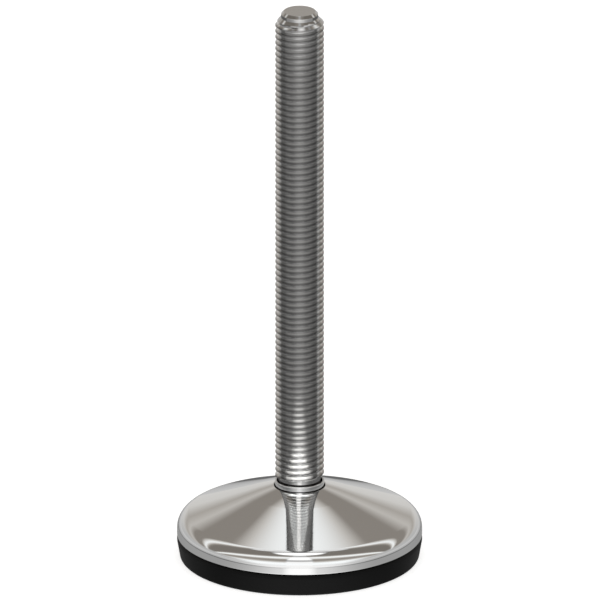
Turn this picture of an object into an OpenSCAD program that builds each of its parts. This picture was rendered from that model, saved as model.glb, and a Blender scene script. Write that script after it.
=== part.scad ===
// Swivel levelling foot: a threaded stud whose ball end tilts in a socket under a pressed dish,
// on a rubber pad. The origin is on the floor, on the axis of the foot, with the stud upright.

/* [Stud] */
// Height of the whole foot, from the floor to the tip of the stud
total_h = 189; // [120:1:260]
// Nominal diameter of the thread
thread_d = 16; // [14:0.5:20]
// Distance from one turn of the thread to the next
thread_pitch = 2; // [1.5:0.25:2.5]
// How much smaller than its nominal diameter the thread is rolled
thread_allowance = 0.04; // [0.01:0.01:0.35]
// Diameter of the dog point at the tip
dog_d = 12.14; // [9:0.01:13]
// Length of the dog point
dog_len = 2; // [1:0.1:8]
// Chamfer at the end of the dog point
dog_chamfer = 0.9; // [0.3:0.1:1.5]
// Slope of the chamfer that leads into the thread, from square to the axis
lead_angle = 45; // [20:1:50]
// How far the plain shank stands out past the root of the thread, all round
shank_step = 0.23; // [0.1:0.01:0.5]
// Plain length of the stud that shows between the rim of the socket and the thread
shank_show = 2.15; // [1:0.05:12]
// Height of the shank's lower edge over the rim of the socket
shank_lift = 0.4; // [0.35:0.05:0.6]
// Chamfer at the shank's lower edge
shank_chamfer = 0.7; // [0.5:0.05:1]
// How far the ball stands out past the shank, all round
ball_lap = 1.1; // [0.9:0.05:1.6]

/* [Dish] */
// Outer diameter of the dish
dish_d = 80; // [60:1:120]
// Thickness of the dish's sheet
dish_t = 2; // [1.5:0.1:2.5]
// Height of the dish's straight skirt
skirt_h = 2.2; // [1:0.1:6]
// Outer radius of the shoulder between skirt and cone
shoulder_r = 5.3; // [4:0.1:8]
// Slope of the dish's cone
cone_slope = 20; // [17:0.5:26]
// Slope of the dish at the edge of its hole, where it is a little flatter
crown_slope = 16.5; // [10:0.5:17]
// Width of the flatter crown round the hole
crown_w = 8.75; // [4:0.25:12]
// Height of the straight wall of the hole, over its countersink
hole_land = 0.7; // [0.4:0.05:1]

/* [Socket] */
// Gap between the shank and the rim of the socket
rim_gap = 0.41; // [0.4:0.01:0.8]
// Thickness of the rim, which has a fully round top
rim_t = 0.84; // [0.6:0.02:1.2]
// Height of the rim over the dish round it
rim_show = 1.68; // [1:0.02:2.5]
// Straight part of the rim's bore, over the ball
rim_land = 0.47; // [0.4:0.01:1]
// Wall of the socket round the ball
socket_wall = 2.92; // [2:0.02:6]
// Thickness of the socket's floor
socket_floor = 1.5; // [1:0.1:3]
// Height of the plastic cup under the ball
cup_h = 5.2; // [3.5:0.1:6]
// Thickness of the plastic cup at its middle
cup_floor = 1.2; // [0.8:0.1:2]
// Thickness of the backing plate
plate_t = 2.2; // [1.5:0.1:3]
// Chamfer round the edges of the backing plate
plate_chamfer = 0.4; // [0.2:0.1:0.6]

/* [Pad] */
// Height of the rubber that shows under the dish
pad_h = 7.5; // [5:0.1:14]
// How far the pad reaches up inside the dish's skirt
spigot_h = 2.4; // [1.5:0.1:4]
// Thickness of the rubber rim round the backing plate
spigot_wall = 2.15; // [1.5:0.05:5]
// How much narrower the pad is at its foot than at its widest, all round
pad_draft = 0.9; // [0:0.1:3]
// Radius of the pad's upper edge
pad_top_r = 1.4; // [0.5:0.1:2.5]
// Radius of the pad's lower edge
pad_foot_r = 1; // [0.5:0.1:2.5]
// Radius of the middle of the first groove under the pad
groove_r = 12; // [6:0.5:14]
// Distance from one groove to the next
groove_step = 8; // [4:0.5:9]
// Number of grooves under the pad
groove_n = 3; // [1:1:3]
// Width of each groove
groove_w = 1.6; // [0.8:0.1:3]
// Depth of each groove
groove_deep = 1; // [0.5:0.1:3]

/* [Fits] */
// Gap between the ball and the socket
ball_gap = 0.08; // [0.05:0.01:0.1]
// Gap between the ball and its cup, and between the cup and the socket
cup_gap = 0.05; // [0.03:0.01:0.06]
// Gap between pieces that rest on each other
seat_gap = 0.05; // [0.02:0.01:0.1]
// Gap between the rim of the socket and the hole in the dish
hole_gap = 0.05; // [0.02:0.01:0.1]
// Gap of the seam between the dish and the pad
seam_gap = 0.1; // [0.05:0.01:0.3]
// Gap between the pad and the inside of the skirt, and round the backing plate
pad_gap = 0.1; // [0.05:0.05:0.3]

/* [Hidden] */
$fn = 96;
eps = 0.01;

// Sizes of the thread, of standard 60 degree form
thread_half_angle = 30;
thread_depth_per_pitch = 0.6134;
crest_r = (thread_d - thread_allowance) / 2;
root_r = thread_d / 2 - thread_depth_per_pitch * thread_pitch;
flank_run = (crest_r - root_r) * tan(thread_half_angle);
root_w = thread_pitch / 6;
crest_w = thread_pitch - root_w - 2 * flank_run;
shank_r = root_r + shank_step;
ball_r = shank_r + ball_lap;
dog_r = dog_d / 2;

// The dish, from the hole outwards: crown, cone, shoulder and skirt
dish_r = dish_d / 2;
rim_in_r = shank_r + rim_gap;
rim_out_r = rim_in_r + rim_t;
hole_r = rim_out_r + hole_gap;
skirt_z = pad_h + seam_gap;
shoulder = [dish_r - shoulder_r, skirt_z + skirt_h];
crown_end_r = hole_r + crown_w;
crown_r = crown_w / (sin(cone_slope) - sin(crown_slope));
cone_top = shoulder + shoulder_r * normal_at(cone_slope);
crown_end_z = cone_top.y + (cone_top.x - crown_end_r) * tan(cone_slope);
crown_mid = [crown_end_r, crown_end_z] - crown_r * normal_at(cone_slope);
hole_z = crown_mid.y + crown_r * cos(crown_slope);
crown_steps = 6;
shoulder_steps = 12;
edge_steps = 8;
countersink = dish_t + 1;

// The stack under the rim of the socket, from the top down
bead_r = rim_t / 2;
rim_z = hole_z + rim_show;
bore_r = ball_r + ball_gap;
hold_z = sqrt(pow(bore_r, 2) - pow(rim_in_r, 2));
ball_z = rim_z - bead_r - rim_land - hold_z;
cup_z = ball_z - ball_r - cup_gap - cup_floor;
cup_r = bore_r - cup_gap;
socket_z = cup_z - cup_gap - socket_floor;
socket_r = bore_r + socket_wall;
plate_z = socket_z - seat_gap - plate_t;
spigot_r = dish_r - dish_t - pad_gap;
recess_r = spigot_r - spigot_wall;
plate_r = recess_r - pad_gap;
spigot_z = max(pad_h + spigot_h, plate_z - seat_gap);

// The thread, from its lower end to the chamfer below the dog point
thread_z = rim_z + shank_show;
dog_z = total_h - dog_len;
lead_z = dog_z - (crest_r - dog_r) * tan(lead_angle);
groove_first_z = thread_z + crest_w + flank_run + root_w / 2;
turns = floor((dog_z - groove_first_z) / thread_pitch) + 1;

// Direction square to a surface that falls outwards at a slope
function normal_at(slope) = [sin(slope), cos(slope)];

// Points of an arc between two angles, counted from straight outwards
function arc(mid, r, from, to, steps) =
    [for (i = [0 : steps]) let (a = from + (to - from) * i / steps) mid + r * [cos(a), sin(a)]];

// Angle of the straight side that joins two round edges, one over the other
function side_angle(low, low_r, high, high_r) =
    let (d = high - low) atan2(d.y, d.x) - acos((low_r - high_r) / norm(d));

// Half section of one V groove of the thread, at its own height
module thread_groove() {
    polygon([
        [root_r, -root_w / 2],
        [crest_r + eps, -root_w / 2 - flank_run - eps * tan(thread_half_angle)],
        [crest_r + eps, root_w / 2 + flank_run + eps * tan(thread_half_angle)],
        [root_r, root_w / 2]
    ]);
}

// Half section of the stud's blank over the ball
module shank_section() {
    shank_z = rim_z + shank_lift;
    polygon([
        [0, ball_z],
        [shank_r - shank_chamfer, ball_z],
        [shank_r - shank_chamfer, shank_z - shank_chamfer],
        [shank_r, shank_z],
        [shank_r, thread_z - (crest_r - shank_r) * tan(thread_half_angle)],
        [crest_r, thread_z],
        [crest_r, lead_z],
        [dog_r, dog_z],
        [dog_r, total_h - dog_chamfer],
        [dog_r - dog_chamfer, total_h],
        [0, total_h]
    ]);
}

// Half section of all that lies under the dish's outer face, less a thickness
module dish_form(inset) {
    polygon(concat(
        [[dish_r - inset, skirt_z - eps], [0, skirt_z - eps]],
        [[0, crown_mid.y + (crown_r - inset) * cos(crown_slope)]],
        arc(crown_mid, crown_r - inset, 90 - crown_slope, 90 - cone_slope, crown_steps),
        arc(shoulder, shoulder_r - inset, 90 - cone_slope, 0, shoulder_steps)
    ));
}

// Half section of the dish's hole, with its countersink from below
module hole_section() {
    land_z = hole_z - hole_land;
    polygon([
        [0, rim_z],
        [hole_r, rim_z],
        [hole_r, land_z],
        [hole_r + countersink, land_z - countersink],
        [0, land_z - countersink]
    ]);
}

module threaded_stud() {
    color("silver") {
        rotate_extrude() difference() {
            shank_section();
            for (i = [0 : turns - 1]) {
                translate([0, groove_first_z + i * thread_pitch]) thread_groove();
            }
        }
        translate([0, 0, ball_z]) sphere(ball_r);
    }
}

// Half section of the rim of the socket, with the cone that the dish sits on
module rim_section() {
    land_z = hole_z - hole_land;
    polygon(concat(
        [[0, land_z - countersink], [rim_out_r + countersink, land_z - countersink], [rim_out_r, land_z]],
        arc([rim_in_r + bead_r, rim_z - bead_r], bead_r, 0, 180, edge_steps),
        [[0, rim_z - bead_r]]
    ));
}

module base_dish() {
    color("gainsboro") rotate_extrude() difference() {
        dish_form(0);
        dish_form(dish_t);
        hole_section();
        square([dish_r, skirt_z]);
    }
}

module ball_socket() {
    color("lightgray") difference() {
        intersection() {
            union() {
                rotate_extrude() dish_form(dish_t + seat_gap);
                rotate_extrude() rim_section();
            }
            translate([0, 0, socket_z]) cylinder(r = socket_r, h = rim_z - socket_z);
        }
        translate([0, 0, socket_z + socket_floor]) cylinder(r = bore_r, h = ball_z - socket_z - socket_floor);
        translate([0, 0, ball_z]) sphere(bore_r);
        translate([0, 0, ball_z]) cylinder(r = rim_in_r, h = rim_z - ball_z);
    }
}

module ball_cup() {
    color("ivory") difference() {
        translate([0, 0, cup_z]) cylinder(r = cup_r, h = cup_h);
        translate([0, 0, ball_z]) sphere(ball_r + cup_gap);
    }
}

module backing_plate() {
    color("darkgray") translate([0, 0, plate_z]) rotate_extrude() polygon([
        [0, 0],
        [plate_r - plate_chamfer, 0],
        [plate_r, plate_chamfer],
        [plate_r, plate_t - plate_chamfer],
        [plate_r - plate_chamfer, plate_t],
        [0, plate_t]
    ]);
}

module rubber_pad() {
    high = [dish_r - pad_top_r, pad_h - pad_top_r];
    low = [dish_r - pad_draft - pad_foot_r, pad_foot_r];
    side = side_angle(low, pad_foot_r, high, pad_top_r);
    color("black") rotate_extrude() difference() {
        polygon(concat(
            [[0, 0]],
            arc(low, pad_foot_r, -90, side, edge_steps),
            arc(high, pad_top_r, side, 90, edge_steps),
            [[spigot_r, pad_h], [spigot_r, spigot_z], [0, spigot_z]]
        ));
        translate([0, plate_z - seat_gap]) square([recess_r, spigot_z]);
        for (i = [0 : groove_n - 1]) {
            translate([groove_r + i * groove_step - groove_w / 2, -eps]) square([groove_w, groove_deep + eps]);
        }
    }
}

threaded_stud();
base_dish();
ball_socket();
ball_cup();
backing_plate();
rubber_pad();
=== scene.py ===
"""Swivel levelling foot: a threaded stud whose ball end tilts under a polished dish, on a rubber pad.

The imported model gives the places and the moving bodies. This script adds the true helical thread, the
rounded edges, the finishes, the floor, the light and the camera.
"""

import math

import bmesh
import bpy
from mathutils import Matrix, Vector


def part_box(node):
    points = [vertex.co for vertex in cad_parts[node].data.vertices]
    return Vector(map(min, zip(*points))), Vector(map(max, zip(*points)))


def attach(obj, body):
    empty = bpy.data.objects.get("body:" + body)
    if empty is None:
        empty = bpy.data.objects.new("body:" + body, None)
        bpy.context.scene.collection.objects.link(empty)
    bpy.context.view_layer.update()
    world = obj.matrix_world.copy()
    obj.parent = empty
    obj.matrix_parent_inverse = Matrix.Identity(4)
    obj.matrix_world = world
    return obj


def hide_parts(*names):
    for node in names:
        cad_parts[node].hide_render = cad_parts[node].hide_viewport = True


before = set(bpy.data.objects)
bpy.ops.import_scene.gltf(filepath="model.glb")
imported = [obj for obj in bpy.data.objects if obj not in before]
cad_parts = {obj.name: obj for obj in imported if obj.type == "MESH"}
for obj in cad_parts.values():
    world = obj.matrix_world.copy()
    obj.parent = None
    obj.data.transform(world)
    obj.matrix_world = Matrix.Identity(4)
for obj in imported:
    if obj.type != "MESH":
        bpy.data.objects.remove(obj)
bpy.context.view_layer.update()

MM = 0.001

# Fineness of the round pieces
DISH_SEGMENTS = 192
STUD_SEGMENTS = 120
FILLET_STEP = math.radians(9)
BORE_STEPS = 8
BALL_STEPS = 24
HOLDING = 0.06
MERGE = 0.004
ON_AXIS = 1e-6
SHARP_ANGLE = 30

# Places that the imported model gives, in millimetres
STUD_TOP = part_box("threaded_stud")[1].z / MM
BALL_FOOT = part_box("threaded_stud")[0].z / MM
BALL_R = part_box("threaded_stud")[1].x / MM
DISH_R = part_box("base_dish")[1].x / MM
DISH_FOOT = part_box("base_dish")[0].z / MM
DISH_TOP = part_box("base_dish")[1].z / MM
SOCKET_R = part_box("ball_socket")[1].x / MM
SOCKET_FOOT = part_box("ball_socket")[0].z / MM
RIM_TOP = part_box("ball_socket")[1].z / MM
PAD_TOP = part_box("rubber_pad")[1].z / MM
PLATE_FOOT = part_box("backing_plate")[0].z / MM

# Thread, in millimetres: standard 60 degree form, right-handed
PITCH = 2.0
CREST_R = 7.98
ROOT_R = 6.7732
CREST_W = 0.2732
FLANK_RUN = 0.6967
CREST_AT_RIGHT = 25.23
RUN_IN = (1.3, 1.45)
THREAD_FOOT = 27.0
ROW_PLACES = (0.0, 0.1667, 0.5, 0.8634, 1.0)

# Ends of the stud, in millimetres
DOG_R = 6.07
DOG_FOOT = STUD_TOP - 2.0
DOG_CHAMFER = 0.9
LEAD_SLOPE = math.tan(math.radians(45))
SHANK_R = 7.0032
SHANK_FOOT = 26.828
SHANK_CHAMFER = 0.7
SHANK_EDGE = 0.1
POINT_EDGE = 0.12

# Dish, in millimetres
DISH_T = 2.0
HOLE_R = 8.3032
SHOULDER_R = 5.3
SHOULDER_Z = 9.8
CONE_SLOPE = math.radians(20)
CROWN_SLOPE = math.radians(16.5)
CROWN_ARC = 130.0
HOLE_LAND = 0.7
HOLE_EDGE = 0.3
SKIRT_EDGE = 0.3

# Socket, in millimetres
RIM_T = 0.64
RIM_GAP = 0.25
BEAD_FILL = 0.99
BORE_R = 8.1832
SOCKET_FLOOR = 1.5
SOCKET_EDGE = 0.3
WALL_EDGE = 0.2

# Pad, in millimetres
PAD_SHOW = 7.5
PAD_FOOT_X = 38.938
PAD_SIDE_X = 40.271
PAD_FOOT_EDGE = 1.0
PAD_TOP_EDGE = 1.4
SPIGOT_R = 37.9
SPIGOT_EDGE = 0.3
RECESS_R = 35.75
SEAT_GAP = 0.05
GROOVES = (12.0, 20.0, 28.0)
GROOVE_W = 1.6
GROOVE_DEEP = 1.0
GROOVE_EDGE = 0.2


class Tree:
    """Adds nodes to a node tree, each with its settings and with its sockets fed by name or number."""

    def __init__(self, tree):
        self.tree = tree

    def add(self, kind, inputs=None, **settings):
        """A new node; an input is a value or another node's socket."""
        node = self.tree.nodes.new(kind)
        for key, value in settings.items():
            setattr(node, key, value)
        for key, value in (inputs or {}).items():
            self.feed(value, node.inputs[key])
        return node

    def feed(self, value, socket):
        """Links a socket, or sets its value."""
        if isinstance(value, bpy.types.NodeSocket):
            self.tree.links.new(value, socket)
        else:
            socket.default_value = value

    def math(self, operation, *values):
        """The result of one step of arithmetic."""
        return self.add("ShaderNodeMath", dict(enumerate(values)), operation=operation).outputs[0]

    def product(self, *values):
        """All values multiplied."""
        result = values[0]
        for value in values[1:]:
            result = self.math("MULTIPLY", result, value)
        return result

    def most(self, *values):
        """The greatest of the values."""
        result = values[0]
        for value in values[1:]:
            result = self.math("MAXIMUM", result, value)
        return result

    def blend(self, share, first, second):
        """A value on the way from the first to the second."""
        inputs = {0: share, 2: first, 3: second}
        return self.add("ShaderNodeMix", inputs, data_type="FLOAT").outputs[0]

    def colours(self, share, first, second):
        """A colour on the way from the first to the second."""
        inputs = {0: share, 6: first, 7: second}
        return self.add("ShaderNodeMix", inputs, data_type="RGBA").outputs[2]

    def axes(self, space):
        """The three parts of the place in a piece, or of the direction in the world."""
        place = self.add("ShaderNodeTexCoord").outputs[space]
        return tuple(self.add("ShaderNodeSeparateXYZ", {0: place}).outputs)

    def across(self, x, y):
        """Distance from the upright axis."""
        return self.math("SQRT", self.math("ADD", self.product(x, x), self.product(y, y)))

    def smooth(self, value, low, high, start=0.0, end=1.0):
        """A soft step from one value to another, between two bounds."""
        inputs = {"Value": value, "From Min": low, "From Max": high, "To Min": start, "To Max": end}
        return self.add("ShaderNodeMapRange", inputs, interpolation_type="SMOOTHSTEP").outputs[0]


def rounded(corners):
    """Points of an outline whose corners are (across, up, radius of the fillet)."""
    points = []
    count = len(corners)
    for index, (x, z, radius) in enumerate(corners):
        here = Vector((x, z))
        before = Vector(corners[index - 1][:2]) - here
        after = Vector(corners[(index + 1) % count][:2]) - here
        if radius == 0:
            points.append(here)
            continue
        before.normalize()
        after.normalize()
        inner = before.angle(after)
        reach = radius / math.tan(inner / 2)
        middle = here + (before + after).normalized() * radius / math.sin(inner / 2)
        start = here + before * reach - middle
        end = here + after * reach - middle
        sweep = math.pi - inner
        steps = max(2, math.ceil(sweep / FILLET_STEP))
        points.append(middle + start + before * HOLDING)
        for step in range(steps + 1):
            share = step / steps
            spoke = start * math.sin((1 - share) * sweep) + end * math.sin(share * sweep)
            points.append(middle + spoke / math.sin(sweep))
        points.append(middle + end + after * HOLDING)
    return points


def spun(mesh_builder, points, segments, closed):
    """Spins an outline round the axis into a bmesh; a point on the axis becomes one closed pole."""
    rings = []
    for x, z in points:
        if x < ON_AXIS:
            rings.append([mesh_builder.verts.new((0, 0, z * MM))])
            continue
        turns = [2 * math.pi * k / segments for k in range(segments)]
        ring = [(x * MM * math.cos(turn), x * MM * math.sin(turn), z * MM) for turn in turns]
        rings.append([mesh_builder.verts.new(place) for place in ring])
    pairs = list(zip(rings, rings[1:]))
    if closed:
        pairs.append((rings[-1], rings[0]))
    for first, second in pairs:
        if len(first) == len(second) == 1:
            continue
        for k in range(segments):
            after = (k + 1) % segments
            loop = [first[k % len(first)], first[after % len(first)], second[after % len(second)]]
            loop.append(second[k % len(second)])
            corners = list(dict.fromkeys(loop))
            mesh_builder.faces.new(corners)


def finished(mesh_builder, name, material):
    """A smooth shaded object from a bmesh, with sharp corners and its faces turned outwards."""
    bmesh.ops.remove_doubles(mesh_builder, verts=mesh_builder.verts, dist=MERGE * MM)
    bmesh.ops.recalc_face_normals(mesh_builder, faces=mesh_builder.faces)
    mesh = bpy.data.meshes.new(name)
    mesh_builder.to_mesh(mesh)
    mesh_builder.free()
    mesh.shade_smooth()
    mesh.set_sharp_from_angle(angle=math.radians(SHARP_ANGLE))
    mesh.materials.clear()
    mesh.materials.append(material)
    piece = bpy.data.objects.new(name, mesh)
    bpy.context.collection.objects.link(piece)
    return piece


def turned(name, points, material, closed=True):
    """A round piece spun from its outline."""
    builder = bmesh.new()
    spun(builder, points, DISH_SEGMENTS, closed)
    return finished(builder, name, material)


# Finishes

CLOUD_SPREAD = (0.3, 0.7)


def float_group(name, inputs, output):
    """A node group of plain numbers, its nodes, its input sockets and the socket that takes its result."""
    group = bpy.data.node_groups.new(name, "ShaderNodeTree")
    for socket in inputs:
        group.interface.new_socket(socket, in_out="INPUT", socket_type="NodeSocketFloat")
    group.interface.new_socket(output, in_out="OUTPUT", socket_type="NodeSocketFloat")
    nodes = Tree(group)
    given = nodes.add("NodeGroupInput").outputs
    return group, nodes, given, nodes.add("NodeGroupOutput").inputs[output]


def ring_marks_group():
    """Fine rings left by turning or by polishing a spinning piece, from the place in the piece."""
    group, nodes, given, result = float_group("Ring marks", ("Rings per metre", "Streaks"), "Marks")
    x, y, z = nodes.axes("Object")
    rings = given["Rings per metre"]
    vector = nodes.add("ShaderNodeCombineXYZ", {
        "X": nodes.product(nodes.across(x, y), rings),
        "Y": nodes.product(z, rings),
        "Z": nodes.product(nodes.math("SINE", nodes.math("ARCTAN2", y, x)), given["Streaks"]),
    }).outputs[0]
    noise = nodes.add("ShaderNodeTexNoise", {"Vector": vector, "Scale": 1.0, "Detail": 3.0, "Roughness": 0.6})
    nodes.feed(noise.outputs[0], result)
    return group


def handling_group():
    """Faint clouds of handling and dust, that vary slowly over a piece."""
    group, nodes, given, result = float_group("Handling", ("Clouds per metre", "Least", "Most"), "Cloud")
    place = nodes.add("ShaderNodeTexCoord").outputs["Object"]
    noise = nodes.add("ShaderNodeTexNoise", {"Vector": place, "Scale": given[0], "Detail": 4.0})
    cloud = nodes.add("ShaderNodeMapRange", {
        "Value": noise.outputs[0], "From Min": CLOUD_SPREAD[0], "From Max": CLOUD_SPREAD[1],
        "To Min": given["Least"], "To Max": given["Most"],
    })
    nodes.feed(cloud.outputs[0], result)
    return group


def joint_shade_group():
    """Painted shade in the joint: one below a height, or inside a distance from the axis."""
    group, nodes, given, result = float_group("Joint shade", ("Level", "Inside"), "Joint shade")
    x, y, z = nodes.axes("Object")
    low = nodes.math("LESS_THAN", z, given["Level"])
    within = nodes.math("LESS_THAN", nodes.across(x, y), given["Inside"])
    nodes.feed(nodes.most(low, within), result)
    return group


RING_MARKS = ring_marks_group()
HANDLING = handling_group()
JOINT_SHADE = joint_shade_group()
# Near-black painted shade for the joint: the stud below its shank, and the socket's lower wall and bore.
JOINT_SHADE_COLOUR = (0.02, 0.019, 0.018)
STEEL_CLOUDS = 120.0
MOULD_CLOUDS = 60.0
STREAKS = 2.0
STUD_DARK = SHANK_FOOT - 0.05
# Bounds of the thread's painted shade: by distance from the axis, from the lighter root to the darker crest,
# and by height below the lead, where the plain colour takes over.
CREST_SHADE = ((CREST_R - 0.75) * MM, (CREST_R - 0.15) * MM)
LEAD_UNSHADED = ((DOG_FOOT - 2.2) * MM, (DOG_FOOT - 1.8) * MM)
RIM_DARK = RIM_TOP - 1.6
RIM_BORE = HOLE_R - RIM_GAP - RIM_T + 0.1


def plain_material(name, colour, clouds, rough):
    """A material, its nodes and its shader, with a roughness between two values in clouds."""
    material = bpy.data.materials.new(name)
    material.use_nodes = True
    nodes = Tree(material.node_tree)
    shader = material.node_tree.nodes["Principled BSDF"]
    shader.inputs["Base Color"].default_value = (*colour, 1)
    given = {"Clouds per metre": clouds, "Least": rough[0], "Most": rough[1]}
    cloud = nodes.add("ShaderNodeGroup", given, node_tree=HANDLING)
    nodes.feed(cloud.outputs["Cloud"], shader.inputs["Roughness"])
    return material, nodes, shader


def bumped(nodes, shader, height, depth):
    """Gives a shader the relief of a height, to a depth in millimetres."""
    bump = nodes.add("ShaderNodeBump", {"Height": height, "Strength": 1.0, "Distance": depth * MM})
    nodes.feed(bump.outputs[0], shader.inputs["Normal"])


def thread_colour(nodes, colour, thread_shading):
    """The colour of the lead, and below it painted shade on the thread: a lighter colour at its root and a
    darker one at its crest.
    """
    x, y, z = nodes.axes("Object")
    outward = nodes.smooth(nodes.across(x, y), *CREST_SHADE)
    thread = nodes.colours(outward, (*thread_shading[0], 1), (*thread_shading[1], 1))
    return nodes.colours(nodes.smooth(z, *LEAD_UNSHADED), thread, (*colour, 1))


def steel(name, colour, edge, rough, marks, depth, dark=None, thread_shading=None):
    """A metal with ring marks, whose roughness lies between two values.

    Where dark gives a height and a distance from the axis, the metal below and inside them gets near-black
    painted shade.
    Where two thread colours are given, the thread below the lead has them as painted light and shade, at its
    root and at its crest.
    """
    material, nodes, shader = plain_material(name, colour, STEEL_CLOUDS, rough)
    shader.inputs["Metallic"].default_value = 1.0
    shader.inputs["Specular Tint"].default_value = (*edge, 1)
    rings = nodes.add("ShaderNodeGroup", {"Rings per metre": marks, "Streaks": STREAKS}, node_tree=RING_MARKS)
    bumped(nodes, shader, rings.outputs["Marks"], depth)
    if dark:
        given = {"Level": dark[0] * MM, "Inside": dark[1] * MM}
        joint_shade = nodes.add("ShaderNodeGroup", given, node_tree=JOINT_SHADE)
        before_shade = thread_colour(nodes, colour, thread_shading) if thread_shading else (*colour, 1)
        shaded = nodes.colours(joint_shade.outputs[0], before_shade, (*JOINT_SHADE_COLOUR, 1))
        nodes.feed(shaded, shader.inputs["Base Color"])
    return material


def moulded(name, colour, rough, grain, depth, gloss=0.5):
    """Rubber or plastic with a fine moulded grain."""
    material, nodes, shader = plain_material(name, colour, MOULD_CLOUDS, rough)
    shader.inputs["Specular IOR Level"].default_value = gloss
    place = nodes.add("ShaderNodeTexCoord").outputs["Object"]
    noise = nodes.add("ShaderNodeTexNoise", {"Vector": place, "Scale": grain, "Detail": 2.0})
    bumped(nodes, shader, noise.outputs[0], depth)
    return material


# The stud's thread has painted shade on its crests and painted light at its root. Below its shank it has
# near-black painted shade.
STUD_STEEL = steel("Rolled stud steel", (0.68, 0.675, 0.665), (0.9, 0.9, 0.9), (0.08, 0.11), 5000.0, 0.0003,
                   dark=(STUD_DARK, 0.0), thread_shading=((0.78, 0.775, 0.765), (0.48, 0.475, 0.47)))
POLISHED = steel("Polished dish steel", (0.87, 0.87, 0.865), (0.9, 0.9, 0.9), (0.05, 0.08), 3000.0, 0.0004)
# The socket has near-black painted shade low on its wall and inside its bore.
RIM_STEEL = steel("Turned socket steel", (0.86, 0.86, 0.855), (0.9, 0.9, 0.9), (0.18, 0.24), 6000.0, 0.0004,
                  dark=(RIM_DARK, RIM_BORE))
PLATE_STEEL = steel("Zinc plated plate", (0.62, 0.63, 0.66), (0.8, 0.8, 0.8), (0.28, 0.38), 2500.0, 0.004)
RUBBER = moulded("Black rubber", (0.004, 0.004, 0.004), (0.45, 0.55), 2600.0, 0.004, 0.12)
CUP_PLASTIC = moulded("Ball cup plastic", (0.75, 0.72, 0.62), (0.3, 0.4), 1500.0, 0.002)


# Dish

def dish_outline():
    """Half section of the pressed dish, from the top edge of its hole outwards and back inside."""
    def cone(across, inset):
        """Height of the cone's face, or of the inner face under it, at a distance from the axis."""
        shoulder = (DISH_R - SHOULDER_R, SHOULDER_Z)
        lift = (SHOULDER_R - inset) / math.cos(CONE_SLOPE)
        return shoulder[1] + lift - (across - shoulder[0]) * math.tan(CONE_SLOPE)

    def crown_corner(inset):
        """Where the flatter crown's face meets the cone's."""
        top = DISH_TOP - inset / math.cos(CROWN_SLOPE)
        gap = cone(HOLE_R, inset) - top
        across = HOLE_R + gap / (math.tan(CONE_SLOPE) - math.tan(CROWN_SLOPE))
        return across, cone(across, inset)

    outer_x, outer_z = crown_corner(0)
    inner_x, inner_z = crown_corner(DISH_T)
    inner_top = DISH_TOP - DISH_T / math.cos(CROWN_SLOPE)
    land = DISH_TOP - HOLE_LAND
    flare = (land - inner_top) / (1 - math.tan(CROWN_SLOPE))
    inside = DISH_R - DISH_T
    return rounded([
        (HOLE_R, DISH_TOP, HOLE_EDGE),
        (outer_x, outer_z, CROWN_ARC),
        (DISH_R, cone(DISH_R, 0), SHOULDER_R),
        (DISH_R, DISH_FOOT, SKIRT_EDGE),
        (inside, DISH_FOOT, SKIRT_EDGE),
        (inside, cone(inside, DISH_T), SHOULDER_R - DISH_T),
        (inner_x, inner_z, 0),
        (HOLE_R + flare, land - flare, 0),
        (HOLE_R, land, 0),
    ])


dish = turned("polished_dish", dish_outline(), POLISHED)
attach(dish, "foot")
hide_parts("base_dish")


# Socket with its rolled rim

def socket_outline():
    """Half section of the socket: floor, wall, cone under the dish, rolled rim and the bore for the ball."""
    rim_out = HOLE_R - RIM_GAP
    rim_in = rim_out - RIM_T
    bead = RIM_T / 2
    ball_z = BALL_FOOT + BALL_R
    land = DISH_TOP - HOLE_LAND
    drop = (DISH_T + RIM_GAP) / math.cos(CROWN_SLOPE)
    under = DISH_TOP - drop
    flare = (land - under) / (1 - math.tan(CROWN_SLOPE))
    wall_top = land - flare - (SOCKET_R - rim_out - flare) * math.tan(CROWN_SLOPE)
    hold = math.sqrt(BORE_R**2 - rim_in**2)
    start = math.atan2(hold, rim_in)
    angles = [start * (1 - k / BORE_STEPS) for k in range(BORE_STEPS + 1)]
    bore = [(BORE_R * math.cos(angle), ball_z + BORE_R * math.sin(angle), 0) for angle in angles]
    return rounded([
        (0, SOCKET_FOOT, 0),
        (SOCKET_R, SOCKET_FOOT, SOCKET_EDGE),
        (SOCKET_R, wall_top, WALL_EDGE),
        (rim_out + flare, land - flare, 0),
        (rim_out, land, 0),
        (rim_out, RIM_TOP, bead * BEAD_FILL),
        (rim_in, RIM_TOP, bead * BEAD_FILL),
        *bore,
        (BORE_R, SOCKET_FOOT + SOCKET_FLOOR, 0),
        (0, SOCKET_FOOT + SOCKET_FLOOR, 0),
    ])


socket = turned("rolled_rim_socket", socket_outline(), RIM_STEEL, closed=False)
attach(socket, "foot")
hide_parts("ball_socket")


# Pad

def pad_outline():
    """Half section of the rubber pad: ribbed sole, leaning side, spigot and the recess for the plate."""
    corners = [(0, 0, 0)]
    for middle in GROOVES:
        corners += [
            (middle - GROOVE_W / 2, 0, GROOVE_EDGE),
            (middle - GROOVE_W / 2, GROOVE_DEEP, GROOVE_EDGE),
            (middle + GROOVE_W / 2, GROOVE_DEEP, GROOVE_EDGE),
            (middle + GROOVE_W / 2, 0, GROOVE_EDGE),
        ]
    return rounded(corners + [
        (PAD_FOOT_X, 0, PAD_FOOT_EDGE),
        (PAD_SIDE_X, PAD_SHOW, PAD_TOP_EDGE),
        (SPIGOT_R, PAD_SHOW, 0),
        (SPIGOT_R, PAD_TOP, SPIGOT_EDGE),
        (RECESS_R, PAD_TOP, SPIGOT_EDGE),
        (RECESS_R, PLATE_FOOT - SEAT_GAP, 0),
        (0, PLATE_FOOT - SEAT_GAP, 0),
    ])


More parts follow.
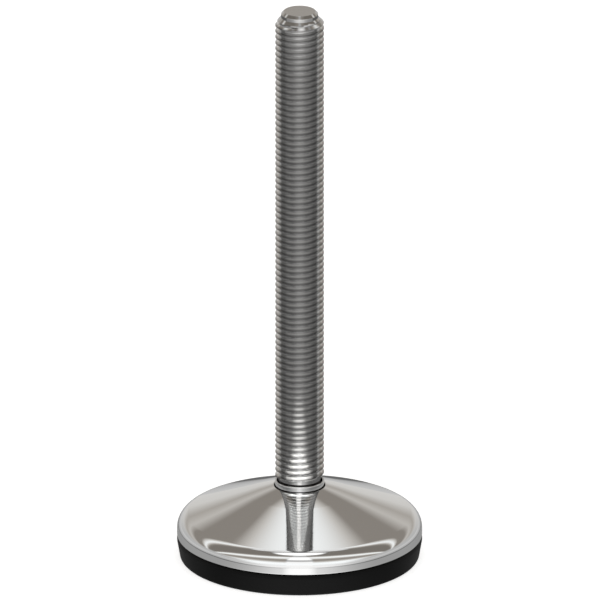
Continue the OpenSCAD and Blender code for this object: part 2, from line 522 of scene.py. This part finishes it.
pad = turned("rubber_sole", pad_outline(), RUBBER, closed=False)
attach(pad, "foot")
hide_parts("rubber_pad")


# Stud

def set_row_spacing(curve_node):
    """Puts the rows of the strip closer together at the corners of the thread's section."""
    curve = curve_node.mapping.curves[0]
    last = len(ROW_PLACES) - 1
    half = [(index / last / 2, place / 2) for index, place in enumerate(ROW_PLACES)]
    whole = half + [(1 - x, 1 - y) for x, y in reversed(half[:-1])]
    for x, y in whole[1:-1]:
        curve.points.new(x, y)
    for point in curve.points:
        point.handle_type = "VECTOR"
    curve_node.mapping.update()


def thread_tree():
    """A strip wound into a helical thread that runs out of the plain shank and ends in a chamfer."""
    tree = bpy.data.node_groups.new("Rolled thread", "GeometryNodeTree")
    sizes = {
        "Pitch": PITCH * MM, "Start": 0.0, "Crest radius": CREST_R * MM, "Root radius": ROOT_R * MM,
        "Crest width": CREST_W * MM, "Flank run": FLANK_RUN * MM,
        "Shank radius": SHANK_R * MM, "Foot": THREAD_FOOT * MM,
        "Run in from": RUN_IN[0], "Run in to": RUN_IN[1],
        "Point radius": DOG_R * MM, "Point foot": DOG_FOOT * MM, "Lead slope": LEAD_SLOPE,
    }
    counts = {"Turns": 1, "Columns": STUD_SEGMENTS, "Rows": 2 * (len(ROW_PLACES) - 1)}
    for name, value in sizes.items():
        tree.interface.new_socket(name, in_out="INPUT", socket_type="NodeSocketFloat").default_value = value
    for name, value in counts.items():
        tree.interface.new_socket(name, in_out="INPUT", socket_type="NodeSocketInt").default_value = value
    tree.interface.new_socket("Finish", in_out="INPUT", socket_type="NodeSocketMaterial")
    tree.interface.new_socket("Thread", in_out="OUTPUT", socket_type="NodeSocketGeometry")
    nodes = Tree(tree)
    given = nodes.add("NodeGroupInput").outputs
    step = nodes.math

    columns = step("ADD", step("MULTIPLY", given["Turns"], given["Columns"]), 1.0)
    rows = step("ADD", given["Rows"], 1.0)
    strip = nodes.add("GeometryNodeMeshGrid", {
        "Size X": 1.0, "Size Y": 1.0, "Vertices X": columns, "Vertices Y": rows,
    })
    flat = nodes.add("ShaderNodeSeparateXYZ", {0: nodes.add("GeometryNodeInputPosition").outputs[0]})
    along = step("MULTIPLY", step("ADD", flat.outputs[0], 0.5), given["Turns"])
    spacing = nodes.add("ShaderNodeFloatCurve", {"Value": step("ADD", flat.outputs[1], 0.5)})
    set_row_spacing(spacing)
    up = spacing.outputs[0]
    climb = step("MULTIPLY", step("ADD", along, up), given["Pitch"])
    height = step("ADD", given["Start"], climb)
    height = step("MAXIMUM", height, given["Foot"])
    height = step("MINIMUM", height, given["Point foot"])

    climbed = step("SUBTRACT", height, step("ADD", given["Start"], step("MULTIPLY", along, given["Pitch"])))
    off_crest = step("ABSOLUTE", step("SUBTRACT", climbed, step("MULTIPLY", given["Pitch"], 0.5)))
    off_flat = step("SUBTRACT", off_crest, step("MULTIPLY", given["Crest width"], 0.5))
    fall = step("DIVIDE", off_flat, given["Flank run"])
    fall = nodes.add("ShaderNodeClamp", {"Value": fall}).outputs[0]
    depth = step("SUBTRACT", given["Crest radius"], given["Root radius"])
    full = step("SUBTRACT", given["Crest radius"], step("MULTIPLY", fall, depth))

    over = step("MAXIMUM", step("SUBTRACT", full, given["Shank radius"]), 0.0)
    under = step("MAXIMUM", step("SUBTRACT", given["Shank radius"], full), 0.0)
    groove_below = step("LESS_THAN", up, 0.5)
    groove_along = step("SUBTRACT", along, groove_below)
    raised = nodes.smooth(along, given["Run in from"], given["Run in to"])
    sunk = nodes.smooth(groove_along, given["Run in from"], given["Run in to"])
    shaped = step("ADD", given["Shank radius"], step("MULTIPLY", over, raised))
    shaped = step("SUBTRACT", shaped, step("MULTIPLY", under, sunk))
    left = step("SUBTRACT", given["Point foot"], height)
    lead = step("ADD", given["Point radius"], step("DIVIDE", left, given["Lead slope"]))
    radius = step("MINIMUM", shaped, lead)

    turn = step("MULTIPLY", step("FRACT", along), 2 * math.pi)
    place = nodes.add("ShaderNodeCombineXYZ", {
        "X": step("MULTIPLY", radius, step("COSINE", turn)),
        "Y": step("MULTIPLY", radius, step("SINE", turn)),
        "Z": height,
    })
    wound = nodes.add("GeometryNodeSetPosition", {"Geometry": strip.outputs[0], "Position": place.outputs[0]})
    merge = {"Geometry": wound.outputs[0], "Distance": MERGE * MM}
    sealed = nodes.add("GeometryNodeMergeByDistance", merge)
    real = nodes.add("GeometryNodeRealizeInstances", {"Geometry": sealed.outputs[0]})
    painted = nodes.add("GeometryNodeSetMaterial", {"Geometry": real.outputs[0], "Material": given["Finish"]})
    nodes.feed(painted.outputs[0], nodes.add("NodeGroupOutput").inputs["Thread"])
    return tree


def wound_thread():
    """The thread's mesh, evaluated from its tree."""
    start = CREST_AT_RIGHT - PITCH / 2
    turns = math.ceil((DOG_FOOT - start) / PITCH) + 1
    tree = thread_tree()
    carrier = bpy.data.objects.new("thread strip", bpy.data.meshes.new("thread strip"))
    bpy.context.collection.objects.link(carrier)
    modifier = carrier.modifiers.new("Rolled thread", "NODES")
    modifier.node_group = tree
    sockets = {item.name: item.identifier for item in tree.interface.items_tree}
    modifier[sockets["Start"]] = start * MM
    modifier[sockets["Turns"]] = turns
    modifier[sockets["Finish"]] = STUD_STEEL
    ready = carrier.evaluated_get(bpy.context.evaluated_depsgraph_get())
    mesh = bpy.data.meshes.new_from_object(ready)
    bpy.data.objects.remove(carrier)
    return mesh


def point_outline():
    """Half section of the dog point, from the top of the thread to the middle of its face."""
    corners = rounded([
        (CREST_R, DOG_FOOT, 0),
        (DOG_R, DOG_FOOT, 0),
        (DOG_R, STUD_TOP - DOG_CHAMFER, POINT_EDGE),
        (DOG_R - DOG_CHAMFER, STUD_TOP, POINT_EDGE),
        (0, STUD_TOP, 0),
    ])
    return corners[1:]


def shank_outline():
    """Half section of the plain shank, the neck and the ball, from the foot of the thread down."""
    ball_z = BALL_FOOT + BALL_R
    neck_r = SHANK_R - SHANK_CHAMFER
    top_angle = math.acos(neck_r / BALL_R)
    corners = [
        (SHANK_R, THREAD_FOOT, 0),
        (SHANK_R, SHANK_FOOT, SHANK_EDGE),
        (neck_r, SHANK_FOOT - SHANK_CHAMFER, SHANK_EDGE),
        (neck_r, ball_z + BALL_R * math.sin(top_angle), 0),
    ]
    for k in range(1, BALL_STEPS):
        angle = top_angle - (top_angle + math.pi / 2) * k / BALL_STEPS
        corners.append((BALL_R * math.cos(angle), ball_z + BALL_R * math.sin(angle), 0))
    return rounded(corners + [(0, BALL_FOOT, 0)])


def stud_piece():
    """The whole stud: ball, neck, plain shank, thread and dog point in one skin."""
    builder = bmesh.new()
    thread = wound_thread()
    builder.from_mesh(thread)
    bpy.data.meshes.remove(thread)
    spun(builder, point_outline(), STUD_SEGMENTS, closed=False)
    spun(builder, shank_outline(), STUD_SEGMENTS, closed=False)
    return finished(builder, "rolled_stud", STUD_STEEL)


stud = stud_piece()
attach(stud, "stud")
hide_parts("threaded_stud")


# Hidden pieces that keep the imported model's own meshes

for node, finish in (("ball_cup", CUP_PLASTIC), ("backing_plate", PLATE_STEEL)):
    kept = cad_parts[node]
    kept.data.materials.clear()
    kept.data.materials.append(finish)


# Floor, light and camera

FLOOR_REACH = 3.0
FLOOR_COLOUR = 0.8
FLOOR_GLOW = 0.72

# Brightness of the floor and of the studio as the metal shows them; on the floor it is painted reflection, a
# glow that only mirrored rays see. Each value is two bounds, and mostly the brightness at each of them. The
# bounds are of the distance from the axis in metres (floor, end, gap), of how flat the floor is seen, from 0
# straight down to 1 along it (view, grazing, round), or of how far to the side a place lies, from 0 straight
# ahead to 1 square to the view (light, narrow, wide, ahead).
FLAT_VIEW = (0.4, 0.62)
NEAR_FLOOR = (0.068, 0.082)
NEAR_LIGHT = (0.05, 0.85, 0.85, 0.36)
NEAR_LIGHT_STEEP = (0.1, 0.9, 1.3, 0.25)
MID_LIGHT = (0.1, 0.7, 0.31, 0.14)
MID_LIGHT_STEEP = (0.0, 0.8, 0.45, 0.31)
GLEAM_END = (0.1145, 0.118)
GLEAM_GAP = (0.0855, 0.088, 0.093, 0.0955)
GLEAM_LOSS = 0.75
GLEAM_NARROW = (0.08, 0.4, 1.15, 0.0)
GLEAM_WIDE = (0.1, 0.95, 0.7, 0.1)
FAR_FLOOR = (0.49, 0.52)
FAR_LIGHT = (0.0, 1.0, 1.15, 0.4)
GRAZING = (0.74, 0.84)
GRAZING_AHEAD = (0.3, 1.0, 1.0, 0.42)
GRAZING_ROUND = (0.7, 1.0, 0.36, 0.64)
AHEAD_EDGE = (-0.02, 0.0, 1.0, 0.0)
LEAST_AWAY = 0.001
TWICE_MIRRORED = 1.5
THRICE_MIRRORED = 2.5
THRICE_GAIN = 1.8


def lit_ahead(nodes, y):
    """One in front of the foot, nought behind it."""
    return nodes.smooth(y, *AHEAD_EDGE)


def to_the_side(nodes, x, away):
    """How far to the side a place or a direction lies, from 0 straight ahead to 1 square to it."""
    return nodes.math("DIVIDE", nodes.math("ABSOLUTE", x), nodes.math("MAXIMUM", away, LEAST_AWAY))


def mirrored_over(nodes, rays, count):
    """One for a ray that metal has mirrored more often than the count, nought for others."""
    return nodes.math("GREATER_THAN", rays.outputs["Glossy Depth"], count)


def floor_in_metal(nodes, rays):
    """Painted reflection on the floor, a glow for mirrored rays only: pale near the foot and straight ahead,
    dim elsewhere.
    """
    x, y = nodes.axes("Object")[:2]
    away = nodes.across(x, y)
    aside = to_the_side(nodes, x, away)
    ahead = lit_ahead(nodes, y)
    facing = nodes.add("ShaderNodeLayerWeight", {"Blend": 0.5}).outputs["Facing"]
    flat = nodes.smooth(facing, *FLAT_VIEW)

    near = nodes.blend(flat, nodes.smooth(aside, *NEAR_LIGHT_STEEP), nodes.smooth(aside, *NEAR_LIGHT))
    near = nodes.product(nodes.blend(ahead, NEAR_LIGHT[3], near), nodes.smooth(away, *NEAR_FLOOR, 1.0, 0.0))
    middle = nodes.blend(flat, nodes.smooth(aside, *MID_LIGHT_STEEP), nodes.smooth(aside, *MID_LIGHT))
    middle = nodes.blend(ahead, MID_LIGHT[3], middle)
    gap = nodes.product(nodes.smooth(away, *GLEAM_GAP[:2]), nodes.smooth(away, *GLEAM_GAP[2:], 1.0, 0.0))
    gleam = nodes.most(nodes.smooth(aside, *GLEAM_NARROW), nodes.smooth(aside, *GLEAM_WIDE))
    past_gap = nodes.math("MULTIPLY_ADD", gap, -GLEAM_LOSS, 1.0)
    gleam = nodes.product(gleam, nodes.smooth(away, *GLEAM_END, 1.0, 0.0), past_gap, ahead, flat)
    far = nodes.product(nodes.smooth(aside, *FAR_LIGHT), nodes.smooth(away, *FAR_FLOOR), ahead)
    gain = nodes.math("MULTIPLY_ADD", mirrored_over(nodes, rays, THRICE_MIRRORED), THRICE_GAIN, 1.0)
    sheen = nodes.product(nodes.smooth(aside, *GRAZING_AHEAD), ahead, gain)
    sheen = nodes.most(sheen, nodes.smooth(facing, *GRAZING_ROUND))
    sheen = nodes.product(sheen, nodes.smooth(facing, *GRAZING))
    return nodes.most(near, middle, gleam, far, sheen)


def pale_floor():
    """A pale floor that keeps the object's soft shadow, shows white to the camera, and shows mirrored rays a
    painted reflection of glowing light.
    """
    mesh = bpy.data.meshes.new("floor")
    reach = FLOOR_REACH
    mesh.from_pydata([(-reach, -reach, 0), (reach, -reach, 0), (reach, reach, 0), (-reach, reach, 0)], [],
                     [(0, 1, 2, 3)])
    material = bpy.data.materials.new("Pale floor")
    material.use_nodes = True
    material.node_tree.nodes.clear()
    nodes = Tree(material.node_tree)
    rays = nodes.add("ShaderNodeLightPath")
    glossy = rays.outputs["Is Glossy Ray"]
    seen = nodes.math("MAXIMUM", rays.outputs["Is Camera Ray"], rays.outputs["Is Transmission Ray"])
    mirrored = nodes.math("MULTIPLY", glossy, floor_in_metal(nodes, rays))
    strength = nodes.math("MULTIPLY_ADD", seen, FLOOR_GLOW, mirrored)
    shade = nodes.math("MULTIPLY", nodes.math("SUBTRACT", 1.0, glossy), FLOOR_COLOUR)
    colour = nodes.add("ShaderNodeCombineXYZ", {"X": shade, "Y": shade, "Z": shade})
    matt = nodes.add("ShaderNodeBsdfDiffuse", {"Color": colour.outputs[0]})
    glow = nodes.add("ShaderNodeEmission", {"Strength": strength})
    both = nodes.add("ShaderNodeAddShader", {0: matt.outputs[0], 1: glow.outputs[0]})
    nodes.feed(both.outputs[0], nodes.add("ShaderNodeOutputMaterial").inputs["Surface"])
    mesh.materials.append(material)
    floor = bpy.data.objects.new("floor", mesh)
    bpy.context.collection.objects.link(floor)


# Brightness of the studio round the object, by degrees from the horizon behind over the top to the front
STUDIO = (
    (0, 0.74), (10, 0.70), (20, 0.41), (28, 0.55), (36, 0.25), (50, 0.25), (54, 0.57), (60, 1.04), (63, 0.85),
    (66, 0.5), (70, 0.25), (74, 0.19), (106, 0.19), (112, 0.36), (116, 0.85), (120, 1.14), (126, 0.86),
    (131, 0.42), (139, 0.24), (146, 0.39), (150, 0.5), (154, 0.76), (158, 1.0), (162, 1.12), (168, 1.15),
    (174, 1.02), (180, 0.97),
)
RAMP_TOP = 2.0
DIM_LIGHT = 0.25
FULL_LIGHT = 1.0
DIM_TINT = (1.09, 1.0, 0.9)
FULL_TINT = (0.975, 1.0, 1.01)

# Light near the horizon, by how far to the side it comes from
LOW_SKY = (0.1, 0.26)
LOW_AHEAD = (0.6, 0.97, 1.0, 0.0)
LOW_BEHIND = (0.1, 0.8, 1.0, 0.0)
SIDE_LIGHT = 0.52

# Share of the light from high up that is lost in twice mirrored rays
TWICE_DIMMED = (0.3, 0.45, 0.0, 0.8)

# Upright strip of light straight ahead: its width, and its brightness by height, direct and mirrored twice
STRIP_WIDTH = (0.2, 0.3)
STRIP_FOOT = (0.45, 0.56, 1.08, 0.5)
STRIP_TOP = (0.61, 0.71, 0.0, 1.18)
STRIP_END = (0.88, 0.94, 1.0, 0.2)
STRIP_TWICE = 1.8
STRIP_TWICE_END = (0.7, 0.85, 1.0, 0.0)

# Panel high up behind the foot, by height, width and distance back
BACK_HEIGHT = (0.84, 0.9)
BACK_WIDTH = (0.24, 0.34, 0.8, 0.0)
BACK_DEPTH = (0.2, 0.3)

# Panel overhead
PANEL_HEIGHT = (0.96, 0.995)
PANEL_WIDTH = (0.19, 0.23, 1.6, 0.0)
PANEL_BACK = (0.16, 0.22)


def ramp_colour(nodes, y, z):
    """The studio's colour, by direction, in the upright plane from behind over the top to the front."""
    tilt = nodes.math("DIVIDE", nodes.math("ARCTAN2", z, y), math.pi)
    ramp = nodes.add("ShaderNodeValToRGB", {0: tilt})
    stops = ramp.color_ramp.elements
    for angle, light in STUDIO[1:-1]:
        stops.new(angle / 180)
    for stop, (angle, light) in zip(stops, STUDIO):
        share = min(1.0, max(0.0, (light - DIM_LIGHT) / (FULL_LIGHT - DIM_LIGHT)))
        tint = Vector(DIM_TINT).lerp(Vector(FULL_TINT), share)
        stop.color = (*(tint * light / RAMP_TOP), 1)
    return ramp.outputs[0]


def panel_light(nodes, x, y, z, twice):
    """Brightness of the upright strip ahead, the panel high up behind and the panel overhead."""
    across = nodes.math("ABSOLUTE", x)
    aside = to_the_side(nodes, x, nodes.across(x, y))
    upper = nodes.product(nodes.smooth(z, *STRIP_TOP), nodes.smooth(z, *STRIP_END))
    direct = nodes.most(nodes.smooth(z, *STRIP_FOOT), upper)
    mirrored = nodes.product(nodes.smooth(z, *STRIP_TWICE_END), STRIP_TWICE)
    strip = nodes.blend(twice, direct, nodes.most(direct, mirrored))
    strip = nodes.product(strip, nodes.smooth(aside, *STRIP_WIDTH, 1.0, 0.0), lit_ahead(nodes, y))
    back = nodes.product(nodes.smooth(z, *BACK_HEIGHT), nodes.smooth(across, *BACK_WIDTH),
                         nodes.smooth(y, *BACK_DEPTH))
    panel = nodes.product(nodes.smooth(z, *PANEL_HEIGHT), nodes.smooth(across, *PANEL_WIDTH),
                          nodes.smooth(y, *PANEL_BACK, 1.0, 0.0))
    return nodes.most(strip, panel, back)


def studio_colour(nodes, rays):
    """The studio's colour as the object sees it: the ramp, dimmer to the sides, and the panels over it."""
    x, y, z = nodes.axes("Generated")
    ahead = lit_ahead(nodes, y)
    aside = to_the_side(nodes, x, nodes.across(x, y))
    low = nodes.smooth(z, *LOW_SKY, 1.0, 0.0)
    kept = nodes.blend(ahead, nodes.smooth(aside, *LOW_BEHIND), nodes.smooth(aside, *LOW_AHEAD))
    twice = mirrored_over(nodes, rays, TWICE_MIRRORED)
    gain = nodes.product(mirrored_over(nodes, rays, THRICE_MIRRORED), low, ahead, THRICE_GAIN)
    loss = nodes.product(twice, nodes.smooth(z, *TWICE_DIMMED))
    scale = nodes.math("MULTIPLY_ADD", gain, RAMP_TOP, RAMP_TOP)
    scale = nodes.product(scale, nodes.math("SUBTRACT", 1.0, loss))
    sky = nodes.add("ShaderNodeVectorMath", {0: ramp_colour(nodes, y, z), "Scale": scale}, operation="SCALE")
    dimmed = nodes.product(low, nodes.math("SUBTRACT", 1.0, kept))
    both = {0: dimmed, 4: sky.outputs[0], 5: [SIDE_LIGHT] * 3}
    sides = nodes.add("ShaderNodeMix", both, data_type="VECTOR")
    least = panel_light(nodes, x, y, z, twice)
    least = nodes.add("ShaderNodeCombineXYZ", {"X": least, "Y": least, "Z": least})
    bright = {0: sides.outputs[1], 1: least.outputs[0]}
    return nodes.add("ShaderNodeVectorMath", bright, operation="MAXIMUM").outputs[0]


def studio():
    """A world of soft panels round and over the object, and a white surround for the camera."""
    world = bpy.data.worlds.new("Studio")
    bpy.context.scene.world = world
    world.use_nodes = True
    world.node_tree.nodes.clear()
    nodes = Tree(world.node_tree)
    rays = nodes.add("ShaderNodeLightPath")
    panels = nodes.add("ShaderNodeBackground", {"Color": studio_colour(nodes, rays), "Strength": 1.0})
    white = nodes.add("ShaderNodeBackground", {"Color": (1, 1, 1, 1), "Strength": 1.0})
    mixed = nodes.add("ShaderNodeMixShader", {
        0: rays.outputs["Is Camera Ray"], 1: panels.outputs[0], 2: white.outputs[0],
    })
    nodes.feed(mixed.outputs[0], nodes.add("ShaderNodeOutputWorld").inputs["Surface"])


VIEW_ELEVATION = math.radians(20)
VIEW_DISTANCE = 1.0
VIEW_AIM = Vector((0.000124, 0.0, 0.08865))
VIEW_HEIGHT = 0.19576


def photo_camera():
    """A parallel view from in front and twenty degrees up, as in the photograph."""
    camera = bpy.data.cameras.new("Camera")
    camera.type = "ORTHO"
    camera.ortho_scale = VIEW_HEIGHT
    camera.clip_end = 20
    holder = bpy.data.objects.new("Camera", camera)
    back = Vector((0, -math.cos(VIEW_ELEVATION), math.sin(VIEW_ELEVATION)))
    holder.location = VIEW_AIM + back * VIEW_DISTANCE
    holder.rotation_euler = (math.pi / 2 - VIEW_ELEVATION, 0, 0)
    bpy.context.collection.objects.link(holder)
    bpy.context.scene.camera = holder


pale_floor()
studio()
photo_camera()
bpy.context.scene.view_settings.view_transform = "Standard"
